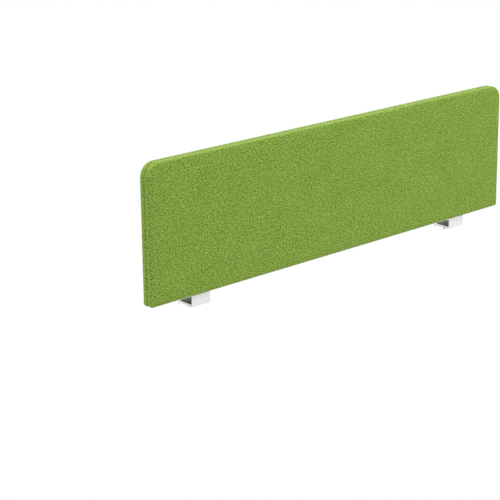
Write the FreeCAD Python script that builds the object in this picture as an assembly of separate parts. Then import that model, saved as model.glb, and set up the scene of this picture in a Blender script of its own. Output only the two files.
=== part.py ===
import FreeCAD, Part

import math
import os

from FreeCAD import Vector

# A privacy screen for the rear edge of a desk: a padded panel, covered in felt-like fabric over a timber
# frame, carried by two folded steel brackets that clamp the desktop.
#
# Frame: +X runs along the desk to the right as seen from behind it, +Y points over the desktop to the
# person who sits there, +Z is up. The origin is where the desktop's top meets its rear edge, midway
# between the brackets. "Front" is the outer side, which faces away from the desk.

# ---------------------------------------------------------------- driving dimensions, mm

# the panel as a whole
panel_length = 1485.0
panel_height = 400.0
panel_thickness = 36.0
top_corner_radius = 42.0
bottom_corner_radius = 6.0
edge_radius = 4.0  # the soft rounding along both faces
panel_overhang = 15.5  # the outer face stands this far behind the desk's rear edge

# layers, from the outside in
cover_thickness = 1.5
wadding_thickness = 2.6
board_thickness = 2.5
soft_gap = 0.2  # ease beside each soft layer
seam_gap = 0.4  # between the front and back covers, along the middle of the edge

# timber frame
rail_width = 45.0
bottom_rail_width = 60.0
stile_width = 45.0
inner_stile_width = 60.0
corner_leg = 100.0
infill_gap = 0.3
tenon_length = 40.0
tenon_width = 28.0
tenon_thickness = 8.0
tenon_end_gap = 1.0
glue_gap = 0.05

# closing strip along the underside
strip_width = 22.0
strip_end_inset = 12.0
strip_gap = 0.3
staple_pitch = 95.0
staple_end_distance = 30.0
staple_crown = 10.0
staple_leg = 9.0
staple_wire = 0.7

# brackets
bracket_end_distance = 190.5  # from the panel's end to the bracket's middle
bracket_width = 67.0
sheet_thickness = 3.0
bend_radius = 1.5
top_flange_reach = 45.0
bottom_flange_reach = 60.0
flange_corner_radius = 8.0
desk_pad_thickness = 1.5
spacer_pad_thickness = 1.5
pad_margin = 2.0
pad_corner_radius = 5.0

# screws that hold the panel on the brackets, M5 countersunk
screw_radius = 2.5
screw_length = 20.0
screw_head_radius = 4.6
screw_spacing = 40.0
screw_bend_distance = 0.6  # between the countersinks and the top flange's bend
screw_key = 3.0
screw_key_depth = 1.8
insert_radius = 4.0
insert_length = 14.0
insert_pilot_gap = 0.05
screw_end_room = 2.0
thread_clearance = 0.05
hole_clearance = 0.3  # around every screw that passes through a plate or a pad

# clamp under the desktop, M6 set screws with dog points
throat = 25.5  # open height for the desktop with the jaw down
jaw_travel = 5.0
jaw_width = 60.0
jaw_thickness = 2.0
jaw_bend_radius = 0.5
jaw_rest_gap = 0.2
jaw_lip_clearance = 0.5
jaw_rear_clearance = 4.0
jaw_pad_thickness = 1.5
clamp_screw_radius = 3.0
clamp_screw_length = 12.0
clamp_screw_spacing = 34.0
clamp_screw_line = 32.0
clamp_key = 3.0
clamp_key_depth = 4.0
end_chamfer = 0.5
dog_radius = 2.0
dog_length = 1.7
dog_clearance = 0.05
nut_across_flats = 10.0
nut_height = 5.0

# ---------------------------------------------------------------- levels and places

top_flange_bottom = desk_pad_thickness
top_flange_top = top_flange_bottom + sheet_thickness
panel_bottom = top_flange_top + spacer_pad_thickness
panel_top = panel_bottom + panel_height
half_length = panel_length / 2
half_thickness = panel_thickness / 2
middle_y = -panel_overhang + half_thickness

rim_inset = cover_thickness + soft_gap
wadding_outside = half_thickness - cover_thickness - soft_gap
board_outside = wadding_outside - wadding_thickness - soft_gap
frame_half = board_outside - board_thickness

frame_end = half_length - rim_inset
frame_bottom = panel_bottom + rim_inset
frame_top = panel_top - rim_inset
bay_bottom = frame_bottom + bottom_rail_width
bay_top = frame_top - rail_width
bay_end = frame_end - stile_width
inner_stile_x = bay_end / 3  # the inner stiles part the frame into three equal bays

jaw_pad_top = -throat
jaw_top = jaw_pad_top - jaw_pad_thickness
jaw_bottom = jaw_top - jaw_thickness
bottom_flange_top = jaw_bottom - jaw_rest_gap
bottom_flange_bottom = bottom_flange_top - sheet_thickness
jaw_lip_depth = jaw_travel + sheet_thickness

bracket_x = half_length - bracket_end_distance
screw_hole_radius = screw_radius + hole_clearance
countersink_radius = screw_head_radius + hole_clearance
screw_line = bend_radius + screw_bend_distance + countersink_radius
clamp_hole_radius = clamp_screw_radius + hole_clearance

FRONT, BACK = -1, 1
LEFT, RIGHT = -1, 1
X_AXIS, Y_AXIS, Z_AXIS = Vector(1, 0, 0), Vector(0, 1, 0), Vector(0, 0, 1)


# ---------------------------------------------------------------- shared shapes


def block(x, y, z):
    """A box between two limits along each axis, given in either order."""
    low = Vector(min(x), min(y), min(z))
    return Part.makeBox(abs(x[1] - x[0]), abs(y[1] - y[0]), abs(z[1] - z[0]), low)


def rod(radius, x, y, z):
    """An upright cylinder between two heights."""
    return Part.makeCylinder(radius, abs(z[1] - z[0]), Vector(x, y, min(z)))


def hexagon(across_flats, x, y, z):
    """An upright hexagonal prism between two heights."""
    corner = across_flats / math.sqrt(3)
    angles = [math.radians(60 * i) for i in range(7)]
    points = [Vector(x + corner * math.cos(a), y + corner * math.sin(a), min(z)) for a in angles]
    return Part.Face(Part.makePolygon(points)).extrude(Vector(0, 0, abs(z[1] - z[0])))


def outline(inset, y):
    """The panel's outline in the plane Y = y, drawn in by an inset: round at the top, nearly square below."""
    x = half_length - inset
    low, high = panel_bottom + inset, panel_top - inset
    small, large = bottom_corner_radius - inset, top_corner_radius - inset
    diagonal = math.sqrt(0.5)
    edges = []
    corners = [  # (centre, radius, angle of the arc's middle), anticlockwise from the lower left
        (Vector(-x + small, y, low + small), small, Vector(-diagonal, 0, -diagonal)),
        (Vector(x - small, y, low + small), small, Vector(diagonal, 0, -diagonal)),
        (Vector(x - large, y, high - large), large, Vector(diagonal, 0, diagonal)),
        (Vector(-x + large, y, high - large), large, Vector(-diagonal, 0, diagonal)),
    ]
    starts = [Vector(-1, 0, 0), Vector(0, 0, -1), Vector(1, 0, 0), Vector(0, 0, 1)]
    last = None
    for (centre, radius, middle), start, end in zip(corners, starts, starts[1:] + starts[:1]):
        begin, finish = centre + start * radius, centre + end * radius
        if last is not None:
            edges.append(Part.LineSegment(last, begin).toShape())
        edges.append(Part.Arc(begin, centre + middle * radius, finish).toShape())
        last = finish
    edges.append(Part.LineSegment(last, edges[0].Vertexes[0].Point).toShape())
    return Part.Wire(edges)


def slab(inset, near, far):
    """The panel's outline as a slab between two distances from the panel's middle plane."""
    face = Part.Face(outline(inset, middle_y + near))
    return face.extrude(Vector(0, far - near, 0))


def padded_slab(side, inset, near, far, rounding):
    """A slab on one side of the middle plane, with its outer edge rounded all the way round."""
    solid = slab(inset, side * near, side * far)
    face_y = middle_y + side * far
    rim = [e for e in solid.Edges if all(abs(v.Y - face_y) < 1e-6 for v in e.Vertexes)]
    return solid.makeFillet(rounding, rim)


def round_edges(solid, axis, places, radius):
    """Rounds the straight edges that run along an axis through the given places."""
    chosen = []
    for edge in solid.Edges:
        if not isinstance(edge.Curve, Part.Line) or abs(edge.tangentAt(edge.FirstParameter) * axis) < 0.999:
            continue
        middle = edge.CenterOfMass
        off_axis = [(middle - place) - axis * ((middle - place) * axis) for place in places]
        if any(offset.Length < 1e-3 for offset in off_axis):
            chosen.append(edge)
    return solid.makeFillet(radius, chosen)


def save(node, shape):
    """Writes one sub-part to its own STEP file."""
    shape.exportStep(f"parts/{node}.step")


# ---------------------------------------------------------------- padded panel


def cover(side):
    """One half of the fabric cover: a face whose edges turn round the rim as far as the seam."""
    skin = padded_slab(side, 0, seam_gap / 2, half_thickness, edge_radius)
    hollow_depth = half_thickness - cover_thickness
    hollow = padded_slab(side, cover_thickness, 0, hollow_depth, edge_radius - cover_thickness)
    opening_x = half_length - strip_end_inset
    opening_y = middle_y + side * (strip_width / 2 + strip_gap)
    hem_opening = block((-opening_x, opening_x), (middle_y, opening_y), (panel_bottom, frame_bottom))
    return skin.cut(hollow).cut(hem_opening)


def wadding(side):
    return padded_slab(side, rim_inset, board_outside + soft_gap, wadding_outside, edge_radius - rim_inset)


def facing_board(side):
    return slab(rim_inset, side * frame_half, side * board_outside)


def joints():
    """Where the frame's members meet: the joint's middle and the axis that its loose tenon lies along."""
    places = []
    for side in (LEFT, RIGHT):
        stile_x = side * (frame_end - stile_width / 2)
        places.append((Vector(stile_x, middle_y, bay_bottom), Z_AXIS))
        places.append((Vector(stile_x, middle_y, frame_top - corner_leg), Z_AXIS))
        places.append((Vector(side * inner_stile_x, middle_y, bay_bottom), Z_AXIS))
        places.append((Vector(side * inner_stile_x, middle_y, bay_top), Z_AXIS))
        places.append((Vector(side * (frame_end - corner_leg), middle_y, frame_top - rail_width / 2), X_AXIS))
    return places


def tenon(centre, direction, ease=0.0, end_room=0.0):
    """A loose tenon across a joint, or with some ease the mortises that it is glued into."""
    along = direction * (tenon_length / 2 + end_room)
    across = (X_AXIS if direction == Z_AXIS else Z_AXIS) * (tenon_width / 2 + ease)
    through = Y_AXIS * (tenon_thickness / 2 + ease)
    low, high = centre - along - across - through, centre + along + across + through
    return block((low.x, high.x), (low.y, high.y), (low.z, high.z))


def frame_member(x, z):
    """A piece of the timber frame, trimmed to the panel's outline and mortised for its tenons."""
    timber = block(x, (middle_y - frame_half, middle_y + frame_half), z)
    timber = timber.common(slab(rim_inset, -frame_half, frame_half))
    return timber.cut([tenon(*place, glue_gap, tenon_end_gap) for place in joints()])


def corner_block(side):
    """The frame's rounded corner: two legs, one towards the top rail and one down to the stile."""
    inner = frame_end - corner_leg
    timber = frame_member((side * frame_end, side * inner), (frame_top - corner_leg, frame_top))
    bay_corner = block(
        (side * bay_end, side * inner),
        (middle_y - frame_half, middle_y + frame_half),
        (frame_top - corner_leg, bay_top),
    )
    return timber.cut(bay_corner)


def bottom_rail():
    timber = frame_member((-frame_end, frame_end), (frame_bottom, bay_bottom))
    depth = max(insert_length, top_flange_bottom + screw_length - frame_bottom) + screw_end_room
    pilots = [
        rod(insert_radius + insert_pilot_gap, x, screw_line, (frame_bottom, frame_bottom + depth))
        for x in screw_columns()
    ]
    return timber.cut(pilots + staples())


def infill(x):
    """A slab of sound-absorbing fibre that fills one bay of the frame."""
    return block(
        (x[0] + infill_gap, x[1] - infill_gap),
        (middle_y - frame_half + infill_gap, middle_y + frame_half - infill_gap),
        (bay_bottom + infill_gap, bay_top - infill_gap),
    )


# ---------------------------------------------------------------- underside of the panel


def staples():
    """Staples to either side of the closing strip in turn, left out where the brackets sit."""
    row = half_length - strip_end_inset - staple_end_distance
    count = int(2 * row / staple_pitch)
    made = []
    for i in range(count + 1):
        x = -row + i * 2 * row / count
        if abs(abs(x) - bracket_x) > (bracket_width + staple_crown) / 2:
            side = FRONT if i % 2 else BACK
            made.append(staple(x, middle_y + side * (strip_width / 2 - 2 * staple_wire)))
    return made


def staple(x, y):
    """A flat wire staple driven flush with the strip's face."""
    half = staple_crown / 2
    wire = (y - staple_wire / 2, y + staple_wire / 2)
    top = panel_bottom + staple_wire
    crown = block((x - half, x + half), wire, (panel_bottom, top))
    legs = [
        block((x + side * half, x + side * (half - staple_wire)), wire, (top, panel_bottom + staple_leg))
        for side in (LEFT, RIGHT)
    ]
    return crown.fuse(legs).removeSplitter()


def closing_strip():
    x = half_length - strip_end_inset - strip_gap
    y = (middle_y - strip_width / 2, middle_y + strip_width / 2)
    strip = block((-x, x), y, (panel_bottom, panel_bottom + cover_thickness))
    holes = [
        rod(screw_hole_radius, column, screw_line, (panel_bottom, frame_bottom)) for column in screw_columns()
    ]
    return strip.cut(holes + staples())


def screw_columns():
    """Where the screws through the brackets stand along the panel."""
    offsets = (-screw_spacing / 2, screw_spacing / 2)
    return [side * bracket_x + offset for side in (LEFT, RIGHT) for offset in offsets]


def threaded_insert(x):
    z = (frame_bottom, frame_bottom + insert_length)
    return rod(insert_radius, x, screw_line, z).cut(rod(screw_radius + thread_clearance, x, screw_line, z))


def bracket_screw(x):
    """A countersunk screw whose head is flush with the flange's underside, with a hexagon socket."""
    head_height = screw_head_radius - screw_radius
    base = Vector(x, screw_line, top_flange_bottom)
    head = Part.makeCone(screw_head_radius, screw_radius, head_height, base)
    shank = rod(screw_radius, x, screw_line, (top_flange_bottom, top_flange_bottom + screw_length))
    socket_z = (top_flange_bottom, top_flange_bottom + screw_key_depth)
    return head.fuse(shank).removeSplitter().cut(hexagon(screw_key, x, screw_line, socket_z))


# ---------------------------------------------------------------- brackets


def bracket(side):
    """A strip of steel sheet folded to a C: over the desktop, down its rear edge and in below it."""
    middle = side * bracket_x
    x = (middle - bracket_width / 2, middle + bracket_width / 2)
    top_z = (top_flange_bottom, top_flange_top)
    bottom_z = (bottom_flange_bottom, bottom_flange_top)
    rear_plate = block(x, (-sheet_thickness, 0), (bottom_flange_bottom, top_flange_top))
    top_flange = block(x, (-sheet_thickness, top_flange_reach), top_z)
    bottom_flange = block(x, (-sheet_thickness, bottom_flange_reach), bottom_z)
    folded = rear_plate.fuse([top_flange, bottom_flange]).removeSplitter()

    outer_bends = [Vector(0, -sheet_thickness, z) for z in (top_flange_top, bottom_flange_bottom)]
    inner_bends = [Vector(0, 0, z) for z in (top_flange_bottom, bottom_flange_top)]
    folded = round_edges(folded, X_AXIS, outer_bends, bend_radius + sheet_thickness)
    folded = round_edges(folded, X_AXIS, inner_bends, bend_radius)
    ends = [Vector(e, reach, 0) for e in x for reach in (top_flange_reach, bottom_flange_reach)]
    folded = round_edges(folded, Z_AXIS, ends, flange_corner_radius)

    cuts = []
    for column in (middle - screw_spacing / 2, middle + screw_spacing / 2):
        cuts.append(rod(screw_hole_radius, column, screw_line, top_z))
        mouth = Vector(column, screw_line, top_flange_bottom)
        depth = countersink_radius - screw_hole_radius
        cuts.append(Part.makeCone(countersink_radius, screw_hole_radius, depth, mouth))
    for column in clamp_columns(side):
        cuts.append(rod(clamp_hole_radius, column, clamp_screw_line, bottom_z))
    return folded.cut(cuts)


def pad(x, y, z):
    """A flat rubber pad with rounded corners."""
    corners = [Vector(a, b, 0) for a in x for b in y]
    return round_edges(block(x, y, z), Z_AXIS, corners, pad_corner_radius)


def desk_pad(side):
    """Lies under the top flange and keeps the steel and the screw heads off the desktop."""
    middle = side * bracket_x
    reach = bracket_width / 2 - pad_margin
    y = (bend_radius + soft_gap, top_flange_reach - pad_margin)
    return pad((middle - reach, middle + reach), y, (0, desk_pad_thickness))


def spacer_pad(side):
    """Lies between the top flange and the panel, with holes for the two screws."""
    middle = side * bracket_x
    reach = bracket_width / 2 - pad_margin
    y = (bend_radius, middle_y + half_thickness - edge_radius)
    z = (top_flange_top, panel_bottom)
    sheet = pad((middle - reach, middle + reach), y, z)
    columns = (middle - screw_spacing / 2, middle + screw_spacing / 2)
    return sheet.cut([rod(screw_hole_radius, column, screw_line, z) for column in columns])


# ---------------------------------------------------------------- clamp


def clamp_columns(side):
    """Where one bracket's two clamp screws stand along the panel."""
    middle = side * bracket_x
    return (middle - clamp_screw_spacing / 2, middle + clamp_screw_spacing / 2)


def jaw(side):
    """A plate that lies on the bottom flange, with a lip folded down in front of the flange's end."""
    middle = side * bracket_x
    x = (middle - jaw_width / 2, middle + jaw_width / 2)
    lip_back = bottom_flange_reach + jaw_lip_clearance
    lip_front = lip_back + jaw_thickness
    plate = block(x, (jaw_rear_clearance, lip_front), (jaw_bottom, jaw_top))
    lip = block(x, (lip_back, lip_front), (jaw_bottom - jaw_lip_depth, jaw_top))
    folded = plate.fuse(lip).removeSplitter()
    folded = round_edges(folded, X_AXIS, [Vector(0, lip_front, jaw_top)], jaw_bend_radius + jaw_thickness)
    folded = round_edges(folded, X_AXIS, [Vector(0, lip_back, jaw_bottom)], jaw_bend_radius)
    sockets = [
        rod(dog_radius + dog_clearance, column, clamp_screw_line, (jaw_bottom, jaw_top))
        for column in clamp_columns(side)
    ]
    return folded.cut(sockets)


def jaw_pad(side):
    middle = side * bracket_x
    reach = jaw_width / 2 - pad_margin
    y = (jaw_rear_clearance + pad_margin, bottom_flange_reach - pad_margin)
    return pad((middle - reach, middle + reach), y, (jaw_top, jaw_pad_top))


def clamp_screw(column):
    """A set screw that bears on the jaw with its shoulder and centres it with its dog point."""
    low = jaw_bottom - clamp_screw_length
    body = rod(clamp_screw_radius, column, clamp_screw_line, (low, jaw_bottom))
    rims = [e for e in body.Edges if isinstance(e.Curve, Part.Circle)]
    body = body.makeChamfer(end_chamfer, [min(rims, key=lambda rim: rim.Curve.Center.z)])
    dog = rod(dog_radius, column, clamp_screw_line, (jaw_bottom, jaw_bottom + dog_length))
    key = hexagon(clamp_key, column, clamp_screw_line, (low, low + clamp_key_depth))
    return body.fuse(dog).removeSplitter().cut(key)


def clamp_nut(column):
    """A weld nut under the bottom flange."""
    z = (bottom_flange_bottom - nut_height, bottom_flange_bottom)
    bore = rod(clamp_screw_radius + thread_clearance, column, clamp_screw_line, z)
    return hexagon(nut_across_flats, column, clamp_screw_line, z).cut(bore)


# ---------------------------------------------------------------- assembly

os.makedirs("parts", exist_ok=True)

for word, side in (("front", FRONT), ("back", BACK)):
    save(f"{word}_cover", cover(side))
    save(f"{word}_wadding", wadding(side))
    save(f"{word}_facing_board", facing_board(side))

half_inner_stile = inner_stile_width / 2
save("bottom_rail", bottom_rail())
save("top_rail", frame_member((corner_leg - frame_end, frame_end - corner_leg), (bay_top, frame_top)))
save("centre_infill", infill((half_inner_stile - inner_stile_x, inner_stile_x - half_inner_stile)))
save("frame_tenons", Part.makeCompound([tenon(*place) for place in joints()]))
save("closing_strip", closing_strip())
save("closing_strip_staples", Part.makeCompound(staples()))
save("threaded_inserts", Part.makeCompound([threaded_insert(x) for x in screw_columns()]))
save("bracket_screws", Part.makeCompound([bracket_screw(x) for x in screw_columns()]))

clamp_nuts = []
for word, side in (("left", LEFT), ("right", RIGHT)):
    bay = sorted((side * bay_end, side * (inner_stile_x + half_inner_stile)))
    inner_stile = (side * inner_stile_x - half_inner_stile, side * inner_stile_x + half_inner_stile)
    stile_z = (bay_bottom, frame_top - corner_leg)
    save(f"{word}_stile", frame_member((side * frame_end, side * bay_end), stile_z))
    save(f"{word}_corner_block", corner_block(side))
    save(f"{word}_inner_stile", frame_member(inner_stile, (bay_bottom, bay_top)))
    save(f"{word}_infill", infill(bay))
    save(f"{word}_bracket", bracket(side))
    save(f"{word}_desk_pad", desk_pad(side))
    save(f"{word}_spacer_pad", spacer_pad(side))
    save(f"{word}_jaw", jaw(side))
    save(f"{word}_jaw_pad", jaw_pad(side))
    for letter, column in zip("ab", clamp_columns(side)):
        save(f"{word}_clamp_screw_{letter}", clamp_screw(column))
        clamp_nuts.append(clamp_nut(column))
save("clamp_nuts", Part.makeCompound(clamp_nuts))
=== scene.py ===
import math

import bmesh
import bpy
from mathutils import Matrix, Vector


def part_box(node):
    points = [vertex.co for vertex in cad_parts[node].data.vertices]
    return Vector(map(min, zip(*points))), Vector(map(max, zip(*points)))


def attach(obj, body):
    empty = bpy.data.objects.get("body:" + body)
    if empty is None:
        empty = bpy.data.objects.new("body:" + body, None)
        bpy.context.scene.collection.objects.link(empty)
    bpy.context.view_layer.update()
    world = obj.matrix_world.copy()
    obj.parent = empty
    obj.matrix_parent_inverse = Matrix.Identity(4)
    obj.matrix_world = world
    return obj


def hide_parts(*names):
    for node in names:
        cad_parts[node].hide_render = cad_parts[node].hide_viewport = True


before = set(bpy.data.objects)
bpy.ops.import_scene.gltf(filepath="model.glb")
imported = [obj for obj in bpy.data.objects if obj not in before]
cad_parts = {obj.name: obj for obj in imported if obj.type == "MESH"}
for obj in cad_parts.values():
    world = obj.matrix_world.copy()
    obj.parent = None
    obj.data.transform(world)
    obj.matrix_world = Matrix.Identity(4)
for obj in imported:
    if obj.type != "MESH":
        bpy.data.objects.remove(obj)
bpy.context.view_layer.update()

# ---------------------------------------------------------------- camera and studio
# The viewer stands behind the desk, beyond the screen's left end and a little above its top edge. The floor
# lies as far down as under a real desk. Soft light comes mostly from overhead, and all around is white.

view_turn, view_drop, view_tilt = math.radians(43.384), math.radians(16.785), math.radians(-0.642)
viewpoint = (-3.5267, -3.3509, 1.4769)
lens_length = 121.63
farthest_seen = 100
desk_height = 0.72
floor_reach = 20.0


def in_scene(name, data):
    """Puts a mesh, a camera or a lamp in the scene."""
    item = bpy.data.objects.new(name, data)
    bpy.context.scene.collection.objects.link(item)
    return item


right = Vector((math.cos(view_turn), -math.sin(view_turn), 0))
ahead = Vector(
    (
        math.sin(view_turn) * math.cos(view_drop),
        math.cos(view_turn) * math.cos(view_drop),
        -math.sin(view_drop),
    )
)
down = ahead.cross(right)
tilted_right = right * math.cos(view_tilt) - down * math.sin(view_tilt)
tilted_down = right * math.sin(view_tilt) + down * math.cos(view_tilt)
camera = in_scene("camera", bpy.data.cameras.new("camera"))
camera.data.lens = lens_length
camera.data.clip_end = farthest_seen
facing_screen = Matrix((tilted_right, -tilted_down, -ahead)).transposed().to_4x4()
camera.matrix_world = Matrix.Translation(viewpoint) @ facing_screen
bpy.context.scene.camera = camera
bpy.context.scene.view_settings.view_transform = "Standard"


def feed(tree, node, inputs):
    """Sets a node's inputs by name or number. A value that is another node's output is linked."""
    for key, value in inputs.items():
        if isinstance(value, bpy.types.NodeSocket):
            tree.links.new(value, node.inputs[key])
        else:
            node.inputs[key].default_value = value


def add_node(tree, kind, inputs, **settings):
    """Adds a node to a tree, with its settings and then its inputs."""
    node = tree.nodes.new(kind)
    for name, value in settings.items():
        setattr(node, name, value)
    feed(tree, node, inputs)
    return node


def sums(tree, operation, *values):
    """One step of arithmetic on numbers and other nodes' outputs."""
    return add_node(tree, "ShaderNodeMath", dict(enumerate(values)), operation=operation).outputs[0]


def shown_white(tree, shader, output):
    """Shows the camera, gloss and glass plain white in place of a surface or of the world."""
    rays = add_node(tree, "ShaderNodeLightPath", {}).outputs
    seen = sums(tree, "MAXIMUM", rays["Is Camera Ray"], rays["Is Glossy Ray"])
    seen = sums(tree, "MAXIMUM", seen, rays["Is Transmission Ray"])
    kind = "ShaderNodeBackground" if shader.type == "BACKGROUND" else "ShaderNodeEmission"
    white = add_node(tree, kind, {"Color": (1, 1, 1, 1), "Strength": 1.0})
    mix = add_node(tree, "ShaderNodeMixShader", {"Fac": seen, 1: shader.outputs[0], 2: white.outputs[0]})
    feed(tree, output, {"Surface": mix.outputs[0]})
    return mix


world = bpy.data.worlds.new("studio")
world.use_nodes = True
bpy.context.scene.world = world
room_light = world.node_tree.nodes["Background"]
feed(world.node_tree, room_light, {"Color": (1.0, 1.0, 1.0, 1), "Strength": 0.5})
shown_white(world.node_tree, room_light, world.node_tree.nodes["World Output"])


def new_material(name, finish):
    """A material with the given values on its shader, and its node tree and shader to go on with."""
    material = bpy.data.materials.new(name)
    material.use_nodes = True
    shader = material.node_tree.nodes["Principled BSDF"]
    feed(material.node_tree, shader, finish)
    return material, material.node_tree, shader


floor_mesh = bpy.data.meshes.new("floor")
floor_mesh.from_pydata(
    [(x * floor_reach, y * floor_reach, -desk_height) for x, y in ((-1, -1), (1, -1), (1, 1), (-1, 1))],
    [],
    [(0, 1, 2, 3)],
)
floor = in_scene("floor", floor_mesh)
floor_paint, floor_tree, floor_shader = new_material(
    "pale_floor", {"Base Color": (0.5, 0.5, 0.5, 1), "Roughness": 1.0, "Specular IOR Level": 0.0}
)
floor_output = floor_tree.nodes["Material Output"]
from_above = shown_white(floor_tree, floor_shader, floor_output).outputs[0]
# from below, the floor lets the view through to the underside of the screen
backface = add_node(floor_tree, "ShaderNodeNewGeometry", {}).outputs["Backfacing"]
clear = add_node(floor_tree, "ShaderNodeBsdfTransparent", {}).outputs[0]
one_way = add_node(floor_tree, "ShaderNodeMixShader", {"Fac": backface, 1: from_above, 2: clear})
feed(floor_tree, floor_output, {"Surface": one_way.outputs[0]})
floor_mesh.materials.append(floor_paint)


def softbox(name, place, size, watts):
    """A square area light that faces the screen."""
    lamp = in_scene(name, bpy.data.lights.new(name, "AREA"))
    lamp.data.size = size
    lamp.data.energy = watts
    lamp.location = place
    lamp.rotation_euler = (-Vector(place)).to_track_quat("-Z", "Y").to_euler()


softbox("overhead", place=(0.3, -0.4, 5.2), size=5.0, watts=248)
softbox("key", place=(2.2, -6.0, 3.0), size=4.0, watts=228)
softbox("left_fill", place=(-4.8, 2.0, 1.4), size=2.6, watts=112)
softbox("right_fill", place=(4.8, 2.0, 1.4), size=2.6, watts=50)
softbox("rear_fill", place=(-0.6, 6.4, 2.6), size=4.0, watts=110)

# ---------------------------------------------------------------- fabric cover
# Two halves of green melange felt, stretched over the wadding and turned round the panel's edge. They meet
# in a seam along the middle of the edge, and below they turn under and stop at the closing strip.

hem_gap = 0.0003
front_low, front_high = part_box("front_cover")
back_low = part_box("back_cover")[0]
strip_low, strip_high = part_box("closing_strip")
middle_y = (front_high.y + back_low.y) / 2
half_thickness = middle_y - front_low.y
seam_half_gap = (back_low.y - front_high.y) / 2
panel_end = front_high.x
panel_bottom, panel_top = front_low.z, front_high.z
hem_half = (strip_high.y - strip_low.y) / 2 + hem_gap
hem_end = panel_end - strip_high.x - hem_gap

edge_radius = 0.004
top_radius = 0.042
bottom_radius = 0.006
face_crown = 0.0014
crown_width = 0.006
rim_crown = 0.0007
rim_fullness = 0.8
least_rim = 0.006
seam_roll = 0.002
seam_tuck = 0.0008
# how far from the seam and hem folds the painted shade on the felt reaches
seam_shade_width = 1.3 * seam_roll
felt_thickness = 0.001
face_pitch = 0.014
arc_steps = 9
turn_steps = 6
roll_steps = 5
tiny = 1e-6


def spread_lines(length, near_start, near_end):
    """Grid lines over a length: the given distances at both ends and an even pitch between them."""
    first, last = near_start[-1], length - near_end[-1]
    count = max(1, round((last - first) / face_pitch))
    between = [first + (last - first) * i / count for i in range(1, count)]
    return list(near_start) + between + [length - d for d in reversed(near_end)]


def round_corner(across, along, radius):
    """Bends the square corner of a grid to a round one. Takes distances from the two borders and gives them
    with the angle round the corner."""
    u, v = 1 - across / radius, 1 - along / radius
    reach, turn = max(u, v), min(u, v) / max(u, v, tiny) * math.pi / 4
    angle = turn if u >= v else math.pi / 2 - turn
    return radius * (1 - reach * math.cos(angle)), radius * (1 - reach * math.sin(angle)), angle


def face_grid():
    """The flat face as a grid of (x, z) with its border's outward directions. Its lines lie at distances from
    the border, closest at the border itself, round the corners and where the hems end."""
    top_corner, bottom_corner = top_radius - edge_radius, bottom_radius - edge_radius
    arc = [top_corner * (1 - math.cos(math.pi / 2 * i / arc_steps)) for i in range(1, arc_steps)]
    hem = hem_end - edge_radius
    side = [0, 0.001, bottom_corner, 0.0045, 0.007, hem, hem + hem_gap]
    side = sorted(side + [d for d in arc if d > 0.009] + [top_corner, 0.046, 0.056, 0.068])
    top = sorted([0, 0.001, 0.0025] + [d for d in arc if d > 0.004] + [top_corner, 0.046, 0.056])
    bottom = [0, 0.001, bottom_corner, 0.004, 0.007, 0.011, 0.016, 0.023]
    width, height = 2 * (panel_end - edge_radius), panel_top - panel_bottom - 2 * edge_radius
    columns, rows = spread_lines(width, side, side), spread_lines(height, bottom, top)
    grid, outward = {}, {}
    for i, a in enumerate(columns):
        for j, b in enumerate(rows):
            x_side = -1 if a < width / 2 else 1
            z_side = -1 if b < height / 2 else 1
            across, along = min(a, width - a), min(b, height - b)
            radius = top_corner if z_side > 0 else bottom_corner
            direction = Vector((0, 0))
            if across < radius and along < radius:
                on_border = min(across, along) < tiny
                across, along, angle = round_corner(across, along, radius)
                if on_border:
                    direction = Vector((x_side * math.cos(angle), z_side * math.sin(angle)))
            elif across < tiny:
                direction = Vector((x_side, 0))
            elif along < tiny:
                direction = Vector((0, z_side))
            x = x_side * (width / 2 - across)
            z = (panel_bottom + panel_top) / 2 + z_side * (height / 2 - along)
            grid[i, j], outward[i, j] = Vector((x, z)), direction
    return grid, outward, len(columns), len(rows)


def crown(distance):
    """How far the wadding swells the face, at a distance from its border."""
    return face_crown * (1 - math.exp(-distance / crown_width))


def edge_profile(end_y):
    """From the face's border round the edge: (distance out from the border, distance from the middle plane,
    length of cloth used)."""
    points = []
    for step in range(1, turn_steps + 1):
        angle = math.pi / 2 * step / turn_steps
        points.append((edge_radius * math.sin(angle), half_thickness - edge_radius * (1 - math.cos(angle))))
    start_y, stop_y = half_thickness - edge_radius, end_y + seam_roll
    for step in range(1, turn_steps + 1):
        t = step / turn_steps
        # beside a hem the edge is too narrow to swell
        swells = start_y - stop_y > least_rim and t < 1
        swell = rim_crown * math.sin(math.pi * t) ** rim_fullness if swells else 0.0
        points.append((edge_radius + swell, start_y + (stop_y - start_y) * t))
    for step in range(1, roll_steps + 1):
        angle = math.pi / 2 * step / roll_steps
        points.append(
            (edge_radius - seam_roll * (1 - math.cos(angle)), stop_y - seam_roll * math.sin(angle))
        )
    points.append((edge_radius - seam_roll - seam_tuck, end_y))
    used, last, path = 0.0, (0.0, half_thickness), []
    for point in points:
        used += math.dist(last, point)
        path.append((*point, used))
        last = point
    return path


def cloth_piece(name, points, faces, laid_flat, thickness):
    """A smooth sheet, thickened inwards, with the cloth laid out flat in its UV map."""
    mesh = bpy.data.meshes.new(name)
    mesh.from_pydata(points, [], faces)
    uv = mesh.uv_layers.new(name="cloth")
    for loop in mesh.loops:
        uv.data[loop.index].uv = laid_flat[loop.vertex_index]
    mesh.polygons.foreach_set("use_smooth", [True] * len(mesh.polygons))
    piece = in_scene(name, mesh)
    thick = piece.modifiers.new("thickness", "SOLIDIFY")
    thick.thickness = thickness
    thick.offset = -1
    return piece


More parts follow.
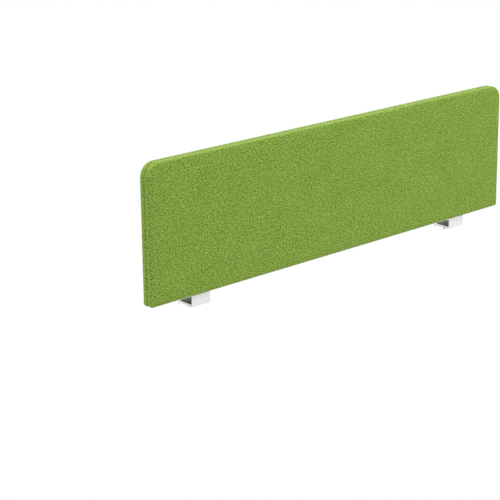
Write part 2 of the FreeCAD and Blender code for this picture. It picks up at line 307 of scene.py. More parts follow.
def cover_piece(name, side):
    """One half of the cover as one sheet: the face, then the cloth round its edge to the seam or the hem."""
    grid, outward, columns, rows = face_grid()
    points, laid_flat, seam_shade, index = [], [], [], {}
    for (i, j), place in grid.items():
        depth = min(
            panel_end - edge_radius - abs(place.x),
            place.y - panel_bottom - edge_radius,
            panel_top - edge_radius - place.y,
        )
        index[i, j] = len(points)
        points.append((place.x, middle_y + side * (half_thickness + crown(max(depth, 0))), place.y))
        laid_flat.append((place.x, place.y))
        seam_shade.append(0.0)
    faces = []
    for i in range(columns - 1):
        for j in range(rows - 1):
            faces.append([index[i, j], index[i + 1, j], index[i + 1, j + 1], index[i, j + 1]])
    border = [(i, 0) for i in range(columns)]
    border += [(columns - 1, j) for j in range(1, rows)]
    border += [(i, rows - 1) for i in range(columns - 2, -1, -1)]
    border += [(0, j) for j in range(rows - 2, 0, -1)]
    rings = []
    for at in border:
        place, direction = grid[at], outward[at]
        under = direction.y < -0.5 and abs(place.x) < panel_end - hem_end + tiny
        ring = [index[at]]
        fold_y = hem_half if under else seam_half_gap
        for out, from_middle, used in edge_profile(fold_y):
            spot = place + direction * out
            ring.append(len(points))
            points.append((spot.x, middle_y + side * from_middle, spot.y))
            laid_flat.append(tuple(place + direction * used))
            # painted shade: 1 where the cloth turns into the seam groove or under at the hem, fading out a
            # little way up the edge
            seam_shade.append(max(0.0, 1 - (from_middle - fold_y) / seam_shade_width))
        rings.append(ring)
    for ring, following in zip(rings, rings[1:] + rings[:1]):
        for k in range(len(ring) - 1):
            faces.append([ring[k], ring[k + 1], following[k + 1], following[k]])
    # the back half is a mirror image, so its faces are turned round to point outwards
    if side > 0:
        faces = [face[::-1] for face in faces]
    piece = cloth_piece(name, points, faces, laid_flat, felt_thickness)
    # the painted shade is kept on the mesh for the felt material to read
    seam_shade_layer = piece.data.attributes.new("seam_shade", "FLOAT", "POINT")
    seam_shade_layer.data.foreach_set("value", seam_shade)
    return piece


def cloud(tree, where, grain, detail, roughness=0.5, distortion=0.0, **settings):
    """Cloudy noise from 0 to 1 about 0.5, with clouds of about the given size."""
    inputs = {"Vector": where, "Scale": 1 / grain, "Detail": detail}
    inputs.update({"Roughness": roughness, "Distortion": distortion})
    return add_node(tree, "ShaderNodeTexNoise", inputs, **settings).outputs["Fac"]


def weighed(tree, parts, start=0.0):
    """Adds up values by their weights, given as pairs."""
    for value, weight in parts:
        start = sums(tree, "MULTIPLY_ADD", value, weight, start)
    return start


def ranged(tree, value, low, high, to_low=0.0, to_high=1.0, **settings):
    """Stretches a value that runs from low to high over another range, and stops it at the ends."""
    inputs = {"Value": value, "From Min": low, "From Max": high, "To Min": to_low, "To Max": to_high}
    return add_node(tree, "ShaderNodeMapRange", inputs, **settings).outputs["Result"]


def shades(tree, value, stops):
    """Colours blended by a value, given as a colour for each place from 0 to 1."""
    ramp = add_node(tree, "ShaderNodeValToRGB", {"Fac": value})
    band = ramp.color_ramp.elements
    while len(band) < len(stops):
        band.new(1.0)
    for stop, (place, colour) in zip(band, stops.items()):
        stop.position = place
        stop.color = (*colour, 1)
    return ramp.outputs["Color"]


def mixed(tree, blend, share, first, second):
    """Blends a second colour into the first by a share from 0 to 1."""
    inputs = {"Factor": share, "A": first, "B": second}
    return add_node(tree, "ShaderNodeMix", inputs, data_type="RGBA", blend_type=blend).outputs["Result"]


def relief(tree, height, strength, depth):
    """Fine relief in a surface, at most as deep as given."""
    inputs = {"Height": height, "Strength": strength, "Distance": depth}
    return add_node(tree, "ShaderNodeBump", inputs).outputs["Normal"]


def felt_material():
    """Green melange felt: a ground of dark and light clumps, some dyed yellower and some cooler, with single
    light and dark fibres strewn over it every way, matt, with a pale nap at grazing angles."""
    finish = {"Roughness": 0.95, "Specular IOR Level": 0.12}
    finish.update({"Sheen Weight": 0.3, "Sheen Roughness": 0.3, "Sheen Tint": (1.0, 0.86, 0.72, 1)})
    material, tree, shader = new_material("green_felt", finish)
    cloth = add_node(tree, "ShaderNodeUVMap", {}, uv_map="cloth").outputs["UV"]

    def noise(angle, length, width, seed, detail, bend=0.0):
        """Cloudy noise laid out on the cloth and stretched along one direction."""
        layout = {"Vector": cloth, "Location": (seed, seed * 0.7, 0), "Scale": (length, width, 1)}
        layout["Rotation"] = (0, 0, math.radians(angle))
        turned = add_node(tree, "ShaderNodeMapping", layout, vector_type="TEXTURE").outputs["Vector"]
        return cloud(tree, turned, 1.0, detail, roughness=0.55, distortion=bend, noise_dimensions="2D")

    def strands(angles, seed):
        """Single fibres in several directions, 0 between them and 1 on them."""
        length, width, apart, found = 0.0105, 0.0007, 1.7, 0.0
        for step, angle in enumerate(angles):
            streaks = noise(angle, length, width, seed + apart * step, detail=1.0, bend=0.5)
            crest = ranged(tree, streaks, 0.56, 0.7, interpolation_type="SMOOTHSTEP")
            found = sums(tree, "MAXIMUM", found, crest)
        return found

    light_fibres = strands((12, 71, -46), 3.1)
    dark_fibres = strands((38, -18, 97), 11.9)
    clumps = noise(0, length=0.0044, width=0.0037, seed=5.2, detail=1.5)
    patches = noise(20, length=0.09, width=0.06, seed=9.4, detail=2.0)
    nap = noise(0, length=0.00035, width=0.00035, seed=1.9, detail=2.0)
    dyes = noise(57, length=0.026, width=0.019, seed=15.7, detail=2.0)
    # painted shade in the seam and hem grooves, read from the cover mesh
    seam_shade = add_node(tree, "ShaderNodeAttribute", {}, attribute_name="seam_shade").outputs["Fac"]

    # each noise lies about 0.5, and the start brings the tone that they add up to back to 0.5
    start = 0.5 - 0.5 * (1.8 + 0.25 + 0.12)
    tone = weighed(tree, [(clumps, 1.8), (nap, 0.25), (patches, 0.12)], start)
    # the painted shade darkens the felt where it turns into the seam groove and under at the hem
    tone = weighed(tree, [(light_fibres, 0.34), (dark_fibres, -0.3), (seam_shade, -0.16)], tone)
    greens = {0.0: (0.040, 0.125, 0.0015), 0.5: (0.191, 0.307, 0.034), 1.0: (0.374, 0.515, 0.130)}
    yellower, cooler = (1.035, 1.0, 0.91, 1), (0.965, 1.0, 1.09, 1)
    tint = mixed(tree, "MIX", ranged(tree, dyes, 0.3, 0.7), yellower, cooler)
    dyed = mixed(tree, "MULTIPLY", 1.0, shades(tree, tone, greens), tint)
    height = weighed(tree, [(nap, 0.35), (light_fibres, 0.5), (clumps, 0.5)])
    feed(tree, shader, {"Base Color": dyed, "Normal": relief(tree, height, strength=0.5, depth=0.0006)})
    return material


felt = felt_material()
for word, side in (("front", -1), ("back", 1)):
    cover = cover_piece(f"{word}_felt_cover", side)
    cover.data.materials.append(felt)
    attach(cover, "screen")
    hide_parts(f"{word}_cover")

# ---------------------------------------------------------------- seam stitches
# Blind stitches of twisted green thread that close the seam round both ends and the top of the panel. They
# lie sunk in the groove between the two halves of the cover, a little aslant.

stitch_pitch = 0.0045
stitch_half_width = 0.0010
stitch_slant = 0.0005
thread_radius = 0.00024
stitch_depth = 0.0010
first_stitch = 0.014
corner_steps = 12


def seam_path():
    """The middle line of the seam as an open polyline: up the left end, along the top, down the right end."""
    end, low, high = panel_end - stitch_depth, panel_bottom + first_stitch, panel_top - stitch_depth
    radius = top_radius - stitch_depth
    quarter = [math.pi / 2 * step / corner_steps for step in range(corner_steps + 1)]
    points = [(-end, middle_y, low)]
    for side, angles in ((-1, quarter), (1, reversed(quarter))):
        for angle in angles:
            out, up = radius * math.cos(angle), radius * math.sin(angle)
            points.append((side * (end - radius + out), middle_y, high - radius + up))
    points.append((end, middle_y, low))
    mesh = bpy.data.meshes.new("seam_path")
    mesh.from_pydata(points, [(i, i + 1) for i in range(len(points) - 1)], [])
    return mesh


def new_tree(name, start, sizes, result):
    """A node tree with a shape to start from, its sizes and its result, and the outputs that give them."""
    tree = bpy.data.node_groups.new(name, "GeometryNodeTree")
    tree.interface.new_socket(start, in_out="INPUT", socket_type="NodeSocketGeometry")
    for size in sizes:
        tree.interface.new_socket(size, in_out="INPUT", socket_type="NodeSocketFloat")
    tree.interface.new_socket(result, in_out="OUTPUT", socket_type="NodeSocketGeometry")
    return tree, add_node(tree, "NodeGroupInput", {}).outputs


def swept(tree, curve, radius, sides):
    """A round thread or wire along a curve, closed at its ends."""
    section = add_node(tree, "GeometryNodeCurvePrimitiveCircle", {"Resolution": sides, "Radius": radius})
    inputs = {"Curve": curve, "Profile Curve": section.outputs["Curve"], "Fill Caps": True}
    return add_node(tree, "GeometryNodeCurveToMesh", inputs).outputs["Mesh"]


def end_tree(tree, placed, material):
    """Ends a tree: what was placed becomes real and takes its material."""
    real = add_node(tree, "GeometryNodeRealizeInstances", {"Geometry": placed.outputs["Instances"]})
    inputs = {"Geometry": real.outputs["Geometry"], "Material": material}
    finish = add_node(tree, "GeometryNodeSetMaterial", inputs)
    add_node(tree, "NodeGroupOutput", {0: finish.outputs["Geometry"]})


def stitch_tree(thread):
    """Threads along a path: each stitch is a low bow across it."""
    sizes = ("Pitch", "Half width", "Thread radius", "Slant")
    tree, given = new_tree("seam_stitches", "Path", sizes, "Stitches")
    line = add_node(tree, "GeometryNodeMeshToCurve", {"Mesh": given["Path"]}).outputs["Curve"]
    spacing = {"Curve": line, "Length": given["Pitch"]}
    even = add_node(tree, "GeometryNodeResampleCurve", spacing, mode="LENGTH").outputs["Curve"]

    crest = add_node(tree, "ShaderNodeCombineXYZ", {"Z": given["Half width"]}).outputs[0]
    bow = add_node(tree, "GeometryNodeCurveQuadraticBezier", {"Resolution": 4, "Middle": crest})
    for end, sign in (("Start", -1), ("End", 1)):
        aslant = sums(tree, "MULTIPLY", given["Slant"], sign)
        across = sums(tree, "MULTIPLY", given["Half width"], sign)
        place = add_node(tree, "ShaderNodeCombineXYZ", {"X": aslant, "Y": across}).outputs[0]
        feed(tree, bow, {end: place})
    stitch = swept(tree, bow.outputs["Curve"], given["Thread radius"], 6)

    axes = {"Primary Axis": add_node(tree, "GeometryNodeInputTangent", {}).outputs[0]}
    axes["Secondary Axis"] = (0, 1, 0)
    turn = add_node(tree, "FunctionNodeAxesToRotation", axes, primary_axis="X", secondary_axis="Y").outputs[0]
    inputs = {"Points": even, "Instance": stitch, "Rotation": turn}
    end_tree(tree, add_node(tree, "GeometryNodeInstanceOnPoints", inputs), thread)
    return tree


def bake_tree(name, start_mesh, tree, values):
    """Runs a node tree on a mesh with the given inputs and keeps the result as a plain mesh object."""
    source = in_scene(name + "_source", start_mesh)
    modifier = source.modifiers.new("made", "NODES")
    modifier.node_group = tree
    for item in tree.interface.items_tree:
        if item.in_out == "INPUT" and item.name in values:
            modifier[item.identifier] = values[item.name]
    bpy.context.view_layer.update()
    evaluated = source.evaluated_get(bpy.context.evaluated_depsgraph_get())
    mesh = bpy.data.meshes.new_from_object(evaluated)
    mesh.name = name
    source.modifiers.remove(modifier)
    bpy.data.objects.remove(source)
    return in_scene(name, mesh)


def on_piece(tree):
    """Places on a piece, in metres, for patterns that ride with it."""
    return add_node(tree, "ShaderNodeTexCoord", {}).outputs["Object"]


def thread_material():
    """Twisted polyester sewing thread, a shade darker than the felt, with a faint lustre."""
    material, tree, shader = new_material("green_thread", {"Roughness": 0.55, "Sheen Weight": 0.2})
    bands = {"Vector": on_piece(tree), "Scale": 900, "Distortion": 1.5}
    twist = add_node(tree, "ShaderNodeTexWave", bands, bands_direction="DIAGONAL").outputs["Fac"]
    colour = shades(tree, twist, {0.0: (0.075, 0.135, 0.018), 1.0: (0.15, 0.25, 0.04)})
    feed(tree, shader, {"Base Color": colour, "Normal": relief(tree, twist, strength=0.6, depth=0.0001)})
    return material


seam = bake_tree(
    "seam_stitches",
    seam_path(),
    stitch_tree(thread_material()),
    {
        "Pitch": stitch_pitch,
        "Half width": stitch_half_width,
        "Thread radius": thread_radius,
        "Slant": stitch_slant,
    },
)
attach(seam, "screen")

# ---------------------------------------------------------------- closing strip
# A woven polyester tape with firm edges, stapled along the panel's underside over the felt's raw edges. It
# dips a little under each staple.

strip_end = strip_high.x
strip_half = (strip_high.y - strip_low.y) / 2
strip_recess = 0.0003
strip_thickness = 0.0011
strip_pitch = 0.0035
ripple_height = 0.00012
slow_ripple, quick_ripple = 41, 97
selvedge = 0.0016
selvedge_groove = 0.00022
groove_width = 0.0006
zigzag_width = 0.00275
rib_pitch = 0.0011
pick_pitch = 0.0006
fleck_size = 0.000625
right_low, right_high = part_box("right_bracket")
bracket_middle = (right_low.x + right_high.x) / 2
bracket_half = (right_high.x - right_low.x) / 2
staple_crown = 0.010
staple_wire = 0.0007
staple_pitch = 0.095
end_staple_inset = 0.030
first_staple = strip_end + hem_gap - end_staple_inset
staple_dip = 0.0005
dip_width = 0.0018
dip_reach = 0.02


def staple_places():
    """Staples along the two edges in turn, left out where the brackets sit."""
    count = int(2 * first_staple / staple_pitch)
    places = []
    for i in range(count + 1):
        x = -first_staple + i * 2 * first_staple / count
        if abs(abs(x) - bracket_middle) > bracket_half + staple_crown / 2:
            places.append((x, middle_y + (-1 if i % 2 else 1) * (strip_half - 2 * staple_wire)))
    return places


def tape():
    """The strip's underside as a grid, thickened upwards."""
    columns = int(2 * strip_end / strip_pitch)
    across = (-1, -0.94, -0.86, -0.75, -0.5, -0.25, 0, 0.25, 0.5, 0.75, 0.86, 0.94, 1)
    staples = staple_places()
    points, laid_flat = [], []
    for i in range(columns + 1):
        x = -strip_end + 2 * strip_end * i / columns
        for part in across:
            y = middle_y + part * strip_half
            z = panel_bottom + strip_recess
            z += ripple_height * math.sin(x * slow_ripple + part) * math.cos(x * quick_ripple)
            from_groove = abs(part) * strip_half - strip_half + selvedge / 2
            z -= selvedge_groove * math.exp(-((from_groove / groove_width) ** 2))
            for staple_x, staple_y in staples:
                if abs(x - staple_x) < dip_reach:
                    off = max(abs(x - staple_x) - staple_crown / 2, 0) ** 2 + (y - staple_y) ** 2
                    z += staple_dip * math.exp(-off / dip_width**2)
            points.append((x, y, z))
            laid_flat.append((x, y))
    row = len(across)
    faces = [
        (i * row + j, i * row + j + 1, (i + 1) * row + j + 1, (i + 1) * row + j)
        for i in range(columns)
        for j in range(row - 1)
    ]
    return cloth_piece("woven_strip", points, faces, laid_flat, strip_thickness)


def tape_material():
    """Dark herringbone tape: ribs slant one way and then the other, with lighter flecks of thread."""
    finish = {"Roughness": 0.8, "Sheen Weight": 0.25, "Sheen Roughness": 0.4}
    material, tree, shader = new_material("herringbone_tape", finish)
    cloth = add_node(tree, "ShaderNodeUVMap", {}, uv_map="cloth").outputs["UV"]
    along, across = add_node(tree, "ShaderNodeSeparateXYZ", {0: cloth}).outputs[:2]
    zigzag = sums(tree, "PINGPONG", sums(tree, "ADD", across, 1.0), zigzag_width)
    slanted = sums(tree, "ADD", along, zigzag)
    ribs = sums(tree, "SINE", sums(tree, "MULTIPLY", slanted, 2 * math.pi / rib_pitch))
    picks = sums(tree, "SINE", sums(tree, "MULTIPLY", across, 2 * math.pi / pick_pitch))
    height = weighed(tree, [(ribs, 0.7), (picks, 0.3)])
    flecks = cloud(tree, cloth, fleck_size, 2, noise_dimensions="2D")
    tone = weighed(tree, [(height, 0.25)], flecks)
    colour = shades(tree, tone, {0.0: (0.012, 0.014, 0.011), 1.0: (0.075, 0.08, 0.07)})
    feed(tree, shader, {"Base Color": colour, "Normal": relief(tree, height, strength=0.8, depth=0.00025)})
    return material


strip = tape()
strip.data.materials.append(tape_material())
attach(strip, "screen")
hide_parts("closing_strip")

# ---------------------------------------------------------------- staples
# Galvanised wire staples that hold the closing strip and the felt's hems to the bottom rail. Their crowns
# lie pressed into the tape.

staple_leg = 0.009
staple_bend = 0.0009


def staple_tree(wire_finish):
    """A bent wire staple at each of the given points, legs up into the timber."""
    tree, given = new_tree("staples", "Places", ("Crown", "Leg", "Wire", "Bend"), "Staples")
    corners = []
    for x_share, z_share in ((-0.5, 1), (-0.5, 0), (0.5, 0), (0.5, 1)):
        x = sums(tree, "MULTIPLY", given["Crown"], x_share)
        z = sums(tree, "MULTIPLY", given["Leg"], z_share)
        corners.append(add_node(tree, "ShaderNodeCombineXYZ", {"X": x, "Z": z}).outputs[0])
    bars = []
    for start, end in zip(corners, corners[1:]):
        bar = add_node(tree, "GeometryNodeCurvePrimitiveLine", {"Start": start, "End": end}).outputs["Curve"]
        bars.append(add_node(tree, "GeometryNodeCurveToMesh", {"Curve": bar}).outputs["Mesh"])
    joined = add_node(tree, "GeometryNodeJoinGeometry", {})
    for bar in reversed(bars):
        feed(tree, joined, {"Geometry": bar})
    closing = {"Geometry": joined.outputs["Geometry"], "Distance": tiny}
    welded = add_node(tree, "GeometryNodeMergeByDistance", closing).outputs["Geometry"]
    line = add_node(tree, "GeometryNodeMeshToCurve", {"Mesh": welded}).outputs["Curve"]
    bending = {"Curve": line, "Count": 4, "Radius": given["Bend"]}
    bent = add_node(tree, "GeometryNodeFilletCurve", bending, mode="POLY").outputs["Curve"]
    staple = swept(tree, bent, sums(tree, "MULTIPLY", given["Wire"], 0.5), 8)
    points = add_node(tree, "GeometryNodeMeshToPoints", {"Mesh": given["Places"]}).outputs["Points"]
    placed = add_node(tree, "GeometryNodeInstanceOnPoints", {"Points": points, "Instance": staple})
    end_tree(tree, placed, wire_finish)
    return tree


def bare_metal(name, dark, light, roughness, grain):
    """Plain metal with a fine mottled finish: zinc plate, wire, brass or blacked steel."""
    material, tree, shader = new_material(name, {"Metallic": 1.0})
    mottle = cloud(tree, on_piece(tree), grain, 4)
    colour = shades(tree, mottle, {0.35: dark, 0.65: light})
    gloss = ranged(tree, mottle, 0.3, 0.7, roughness - 0.07, roughness + 0.1)
    skin = relief(tree, mottle, strength=0.25, depth=0.00005)
    feed(tree, shader, {"Base Color": colour, "Roughness": gloss, "Normal": skin})
    return material


staple_points = bpy.data.meshes.new("staple_points")
staple_points.from_pydata([(x, y, panel_bottom + staple_wire / 2) for x, y in staple_places()], [], [])
wire = bare_metal("galvanised_wire", (0.5, 0.5, 0.51), (0.72, 0.73, 0.75), roughness=0.32, grain=0.0004)
staples = bake_tree(
    "wire_staples",
    staple_points,
    staple_tree(wire),
    {
        "Crown": staple_crown - staple_wire,
        "Leg": staple_leg - staple_wire,
        "Wire": staple_wire,
        "Bend": staple_bend,
    },
)
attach(staples, "screen")
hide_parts("closing_strip_staples")

# ---------------------------------------------------------------- brackets and jaws
# Each bracket is a strip of 3 mm steel sheet folded to a C, and each jaw a thinner plate with a folded lip.
# Both are deburred and powder coated in pale grey, a coat that lies rounded and a touch thick on every edge.

bracket_round = 0.0004
jaw_round = 0.0003
coat_round = 0.0011
merge_distance = 2e-6
level_angle = math.radians(1.5)
edge_angle = math.radians(40)
sheet_crisp_angle = math.radians(35)


def finished_copy(node_name, name, edge):
    """A CAD part as one whole mesh whose sharp edges are broken by a small round."""
    mesh = bpy.data.objects[node_name].data.copy()
    mesh.name = name
    form = bmesh.new()
    form.from_mesh(mesh)
    bmesh.ops.remove_doubles(form, verts=form.verts, dist=merge_distance)
    bmesh.ops.dissolve_limit(
        form, angle_limit=level_angle, verts=form.verts, edges=form.edges, delimit={"NORMAL"}
    )
    form.to_mesh(mesh)
    form.free()
    mesh.materials.clear()
    piece = in_scene(name, mesh)
    broken = piece.modifiers.new("broken_edges", "BEVEL")
    broken.width = edge
    broken.segments = 2
    broken.limit_method = "ANGLE"
    broken.angle_limit = edge_angle
    broken.use_clamp_overlap = True
    broken.harden_normals = True
    mesh.polygons.foreach_set("use_smooth", [True] * len(mesh.polygons))
    mesh.set_sharp_from_angle(angle=sheet_crisp_angle)
    return piece


def powder_coat_material():
    """Pale grey powder coat: a fine orange-peel skin, with a painted highlight a shade lighter along its
    edges.
    """
    material, tree, shader = new_material("powder_coat_grey", {"Specular IOR Level": 0.45})
    where = on_piece(tree)
    peel = cloud(tree, where, 0.0007, 2)
    speck = cloud(tree, where, 0.0002, 1)
    drift = cloud(tree, where, 0.03, 3)
    ground = shades(tree, drift, {0.3: (0.84, 0.84, 0.837), 0.7: (0.875, 0.877, 0.875)})
    specks = shades(tree, speck, {0.4: (0.955, 0.955, 0.96), 0.62: (1.0, 1.0, 1.0)})
    coat = mixed(tree, "MULTIPLY", 1.0, ground, specks)

    rounded = add_node(tree, "ShaderNodeBevel", {"Radius": coat_round}, samples=6).outputs["Normal"]
    flat = add_node(tree, "ShaderNodeNewGeometry", {}).outputs["Normal"]
    alike = add_node(tree, "ShaderNodeVectorMath", {0: rounded, 1: flat}, operation="DOT_PRODUCT")
    # painted highlight: the colour turns a shade lighter where the rounded edges bend away from the flat
    # faces
    edges = ranged(tree, alike.outputs["Value"], 0.99, 0.85)
    painted_edge_highlight = sums(tree, "MULTIPLY", edges, drift)
    colour = mixed(tree, "MIX", painted_edge_highlight, coat, (0.93, 0.93, 0.93, 1))
    gloss = ranged(tree, peel, 0, 1, to_low=0.4, to_high=0.56)
    skin = relief(tree, peel, strength=0.3, depth=0.00008)
    feed(tree, shader, {"Base Color": colour, "Roughness": gloss, "Normal": skin})
    return material


powder_coat = powder_coat_material()
for side in ("left", "right"):
    for part, body in (("bracket", "screen"), ("jaw", f"{side}_jaw")):
        edge = bracket_round if part == "bracket" else jaw_round
        steel = finished_copy(f"{side}_{part}", f"{side}_{part}_steel", edge)
        steel.data.materials.append(powder_coat)
        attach(steel, body)
        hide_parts(f"{side}_{part}")

# ---------------------------------------------------------------- rubber pads
# Die-cut dark rubber with a fine fabric-pressed face: one under each top flange, one between the flange and
# the panel, and one on each jaw.

pad_round = 0.0003


def rubber_material():
    """Dark rubber, matt, with a fine diamond grain in its face and dusty where it is handled."""
    material, tree, shader = new_material("dark_rubber_sheet", {"Specular IOR Level": 0.35})
    where = on_piece(tree)
    waves = []
    for angle in (45, -45):
        layout = {"Vector": where, "Rotation": (0, 0, math.radians(angle))}
        turned = add_node(tree, "ShaderNodeMapping", layout).outputs["Vector"]
        bands = {"Vector": turned, "Scale": 260, "Distortion": 0.3}
        waves.append(add_node(tree, "ShaderNodeTexWave", bands).outputs["Fac"])
    grain = sums(tree, "MULTIPLY", *waves)
    dust = cloud(tree, where, 0.012, 5)
    colour = shades(tree, dust, {0.35: (0.042, 0.042, 0.044), 0.7: (0.105, 0.105, 0.105)})
    gloss = ranged(tree, dust, 0, 1, to_low=0.62, to_high=0.88)
    skin = relief(tree, grain, strength=0.6, depth=0.0002)
    feed(tree, shader, {"Base Color": colour, "Roughness": gloss, "Normal": skin})
    return material


rubber = rubber_material()
for side in ("left", "right"):
    for part, body in (("desk_pad", "screen"), ("spacer_pad", "screen"), ("jaw_pad", f"{side}_jaw")):
        sheet = finished_copy(f"{side}_{part}", f"{side}_{part}_rubber", pad_round)
        sheet.data.materials.append(rubber)
        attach(sheet, body)
        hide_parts(f"{side}_{part}")

# ---------------------------------------------------------------- clamp screws
# Four M6 set screws in black oxide with a 1 mm thread. A hexagon socket below takes the key, and a plain
# round point above turns in the jaw.

thread_pitch = 0.001
thread_depth = 0.00058
root_share, crest_share = 0.14, 0.14
thread_start, thread_runout = 0.0003, 0.0004
rings_per_turn = 8
screw_sides = 32
screw_chamfer = 0.0005
screw_rim = 0.0002
point_radius = 0.002
point_length = 0.00175
undercut = 0.0003
point_bevel = 0.0002
key_half = 0.0015
key_depth = 0.004
key_bevel = 0.00015
drill_radius, drill_tip = 0.0004, 0.0003
screw_crisp_angle = math.radians(38)


def around(x, y, angle, radius, z):
    """A point at an angle and a height round an upright axis."""
    return (x + radius * math.cos(angle), y + radius * math.sin(angle), z)


def socket_radius(angle):
    """How far the socket's hexagon reaches at an angle."""
    return key_half / math.cos((angle + math.pi / 6) % (math.pi / 3) - math.pi / 6)


def thread_reach(angle, height, outside):
    """How far the thread reaches at an angle, at a height above the screw's lower end."""
    turn = (height / thread_pitch - angle / (2 * math.pi)) % 1
    flank = (1 - crest_share - min(turn, 1 - turn) * 2) / (1 - root_share - crest_share)
    groove = thread_depth * min(max(flank, 0), 1)
    taper = min(height / screw_chamfer, 1)
    return min(outside - groove, outside - screw_chamfer + screw_chamfer * taper)


def turned_piece(name, points, faces, crisp_angle):
    """A closed smooth piece, its faces outwards, its edges crisp where they turn by more than an angle."""
    mesh = bpy.data.meshes.new(name)
    mesh.from_pydata(points, [], faces)
    form = bmesh.new()
    form.from_mesh(mesh)
    bmesh.ops.recalc_face_normals(form, faces=form.faces)
    form.to_mesh(mesh)
    form.free()
    mesh.polygons.foreach_set("use_smooth", [True] * len(mesh.polygons))
    mesh.set_sharp_from_angle(angle=crisp_angle)
    return in_scene(name, mesh)


def set_screw(name, node_name):
    """A threaded screw built ring on ring, from the bottom of its socket round to the top of its point."""
    low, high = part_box(node_name)
    x, y = (low.x + high.x) / 2, (low.y + high.y) / 2
    outside = (high.x - low.x) / 2
    shoulder = high.z - point_length
    angles = [2 * math.pi * i / screw_sides for i in range(screw_sides)]
    points = []

    def ring(z, radius):
        """One ring of points, round or with a rule for its radius at an angle."""
        for angle in angles:
            points.append(around(x, y, angle, radius(angle) if callable(radius) else radius, z))

    ring(low.z + key_depth + drill_tip, drill_radius)
    ring(low.z + key_depth, socket_radius)
    ring(low.z + key_bevel, socket_radius)
    ring(low.z, lambda angle: socket_radius(angle) + key_bevel)
    ring(low.z, outside - screw_chamfer - screw_rim)
    thread_low, thread_high = low.z + thread_start, shoulder - thread_runout
    steps = round((thread_high - thread_low) / thread_pitch * rings_per_turn)
    for step in range(steps + 1):
        z = thread_low + (thread_high - thread_low) * step / steps
        ring(z, lambda angle: thread_reach(angle, z - low.z, outside))
    ring(shoulder - undercut, outside - thread_depth)
    ring(shoulder, outside - thread_depth)
    ring(shoulder, point_radius)
    ring(high.z - point_bevel, point_radius)
    ring(high.z, point_radius - point_bevel)
    last = len(points) - screw_sides
    faces = [tuple(reversed(range(screw_sides)))]
    for start in range(0, last, screw_sides):
        for i in range(screw_sides):
            a, b = start + i, start + (i + 1) % screw_sides
            faces.append((a, b, b + screw_sides, a + screw_sides))
    faces.append(tuple(range(last, len(points))))
    return turned_piece(name, points, faces, screw_crisp_angle)


black_oxide = bare_metal(
    "black_oxide_steel", (0.022, 0.022, 0.024), (0.07, 0.07, 0.075), roughness=0.36, grain=0.0011
)
for side in ("left", "right"):
    for letter in "ab":
        node_name = f"{side}_clamp_screw_{letter}"
        screw = set_screw(f"{side}_set_screw_{letter}", node_name)
        screw.data.materials.append(black_oxide)
        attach(screw, node_name)
        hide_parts(node_name)

# ---------------------------------------------------------------- weld nuts
# Hexagon M6 nuts of zinc plated steel, chamfered at both ends and welded under each bottom flange, two to a
# bracket. The clamp screws turn in them.

nut_sides = 48
nut_half_flats = 0.005
nut_bore = 0.00305
nut_countersink = 0.0004
nut_face_radius = 0.0047
nut_chamfer_angle = math.radians(30)
nut_crisp_angle = math.radians(24)
nut_low, nut_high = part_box("clamp_nuts")


def add_nut(points, faces, x, y):
    """One chamfered hexagon nut, built of rings up through its bore and back down its flats."""
    corner = 2 * nut_half_flats / math.sqrt(3)
    slope = math.tan(nut_chamfer_angle)
    chamfers = [(corner - nut_face_radius) * slope * share for share in (0, 0.2, 0.4, 0.6, 0.8, 1)]
    profile = [(nut_bore + nut_countersink, nut_low.z), (nut_bore, nut_low.z + nut_countersink)]
    profile += [(nut_bore, nut_high.z - nut_countersink), (nut_bore + nut_countersink, nut_high.z)]
    profile += [(nut_face_radius + drop / slope, nut_high.z - drop) for drop in chamfers]
    profile += [(nut_face_radius + rise / slope, nut_low.z + rise) for rise in reversed(chamfers)]
    start = len(points)
    for radius, z in profile:
        for i in range(nut_sides):
            angle = 2 * math.pi * i / nut_sides
            flats = nut_half_flats / math.cos(angle % (math.pi / 3) - math.pi / 6)
            points.append(around(x, y, angle, min(radius, flats), z))
    for k in range(len(profile)):
        this, following = start + k * nut_sides, start + (k + 1) % len(profile) * nut_sides
        for i in range(nut_sides):
            j = (i + 1) % nut_sides
            faces.append((this + j, this + i, following + i, following + j))


nut_points, nut_faces = [], []
for side in ("left", "right"):
    for letter in "ab":
        low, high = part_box(f"{side}_clamp_screw_{letter}")
        add_nut(nut_points, nut_faces, (low.x + high.x) / 2, (low.y + high.y) / 2)
nuts = turned_piece("weld_nuts", nut_points, nut_faces, nut_crisp_angle)
zinc_plate = bare_metal(
    "zinc_plate", (0.52, 0.53, 0.54), (0.76, 0.77, 0.79), roughness=0.34, grain=0.0009
)
nuts.data.materials.append(zinc_plate)
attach(nuts, "screen")
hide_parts("clamp_nuts")

# ---------------------------------------------------------------- hidden screws and inserts
# Countersunk M5 screws, zinc plated, hold the panel on the top flanges. They turn in brass inserts let into
# the bottom rail.


def dress(material, *node_names):
    """Gives their finish to parts that keep their CAD shape."""
    for node_name in node_names:
        for material_slot in bpy.data.objects[node_name].material_slots:
            material_slot.material = material


dress(zinc_plate, "bracket_screws")
brass = bare_metal("machined_brass", (0.6, 0.42, 0.16), (0.8, 0.62, 0.3), roughness=0.3, grain=0.0008)
dress(brass, "threaded_inserts")

# ---------------------------------------------------------------- timber frame
# Planed softwood rails, stiles and sawn corner blocks, glued together with loose beech tenons, all closed in
# by the boards and the cover.

lengthwise_share = 0.06


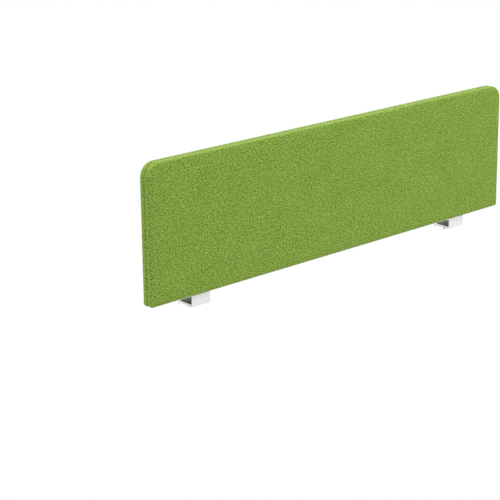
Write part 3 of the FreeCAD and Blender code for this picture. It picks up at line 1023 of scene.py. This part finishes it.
def wood_material(name, along, early, late, ring, pore):
    """Planed timber whose grain runs along one axis: wavy rings of early and late wood, and fine pores."""
    material, tree, shader = new_material(name, {})
    stretch = tuple(lengthwise_share if axis == along else 1.0 for axis in "XYZ")
    layout = {"Vector": on_piece(tree), "Scale": stretch}
    lengthwise = add_node(tree, "ShaderNodeMapping", layout).outputs["Vector"]
    waves = {"Vector": lengthwise, "Scale": 1 / ring, "Distortion": 6.0, "Detail": 3.0, "Detail Scale": 0.6}
    rings = add_node(tree, "ShaderNodeTexWave", waves, wave_type="RINGS", rings_direction=along)
    pores = cloud(tree, lengthwise, pore, 6)
    grain = weighed(tree, [(rings.outputs["Fac"], 0.6), (pores, 0.45)])
    colour = shades(tree, grain, {0.15: early, 0.85: late})
    gloss = ranged(tree, grain, 0, 1, to_low=0.55, to_high=0.8)
    skin = relief(tree, grain, strength=0.3, depth=0.0002)
    feed(tree, shader, {"Base Color": colour, "Roughness": gloss, "Normal": skin})
    return material


softwood = ((0.72, 0.52, 0.31), (0.5, 0.31, 0.15))
beech = ((0.66, 0.45, 0.27), (0.52, 0.33, 0.18))
upright_parts = ("stile", "inner_stile", "corner_block")
uprights = [f"{side}_{part}" for side in ("left", "right") for part in upright_parts]
dress(wood_material("softwood_rails", "X", *softwood, ring=0.05, pore=0.004), "bottom_rail", "top_rail")
dress(wood_material("softwood_uprights", "Z", *softwood, ring=0.05, pore=0.004), *uprights)
dress(wood_material("beech_slips", "Z", *beech, ring=0.03, pore=0.0015), "frame_tenons")

# ---------------------------------------------------------------- boards and fillings
# Hard fibreboard faces both sides of the frame. White wadding lies on it under the felt, and slabs of grey
# fibre fill the bays to deaden sound.


def fibre_material(name, dark, light, fleck, fibre, roughness, depth):
    """Pressed or felted fibres: fine flecks over a soft clouding."""
    material, tree, shader = new_material(name, {"Roughness": roughness})
    where = on_piece(tree)
    flecks = cloud(tree, where, fleck, 5, distortion=1.2)
    tangle = {"Vector": where, "Scale": 1 / fibre}
    fibres = add_node(tree, "ShaderNodeTexVoronoi", tangle, feature="DISTANCE_TO_EDGE").outputs["Distance"]
    tone = weighed(tree, [(fibres, 0.5)], flecks)
    colour = shades(tree, tone, {0.35: dark, 0.8: light})
    feed(tree, shader, {"Base Color": colour, "Normal": relief(tree, tone, strength=0.5, depth=depth)})
    return material


browns = ((0.3, 0.17, 0.08), (0.47, 0.3, 0.17))
whites = ((0.72, 0.71, 0.68), (0.88, 0.88, 0.86))
greys = ((0.38, 0.38, 0.37), (0.62, 0.62, 0.6))
hardboard = fibre_material("hard_fibreboard", *browns, fleck=0.003, fibre=0.0012, roughness=0.6, depth=0.0001)
wadding = fibre_material("white_wadding", *whites, fleck=0.006, fibre=0.002, roughness=0.95, depth=0.0006)
slab = fibre_material("grey_fibre_slab", *greys, fleck=0.004, fibre=0.0016, roughness=0.95, depth=0.0008)
dress(hardboard, "front_facing_board", "back_facing_board")
dress(wadding, "front_wadding", "back_wadding")
dress(slab, "left_infill", "centre_infill", "right_infill")
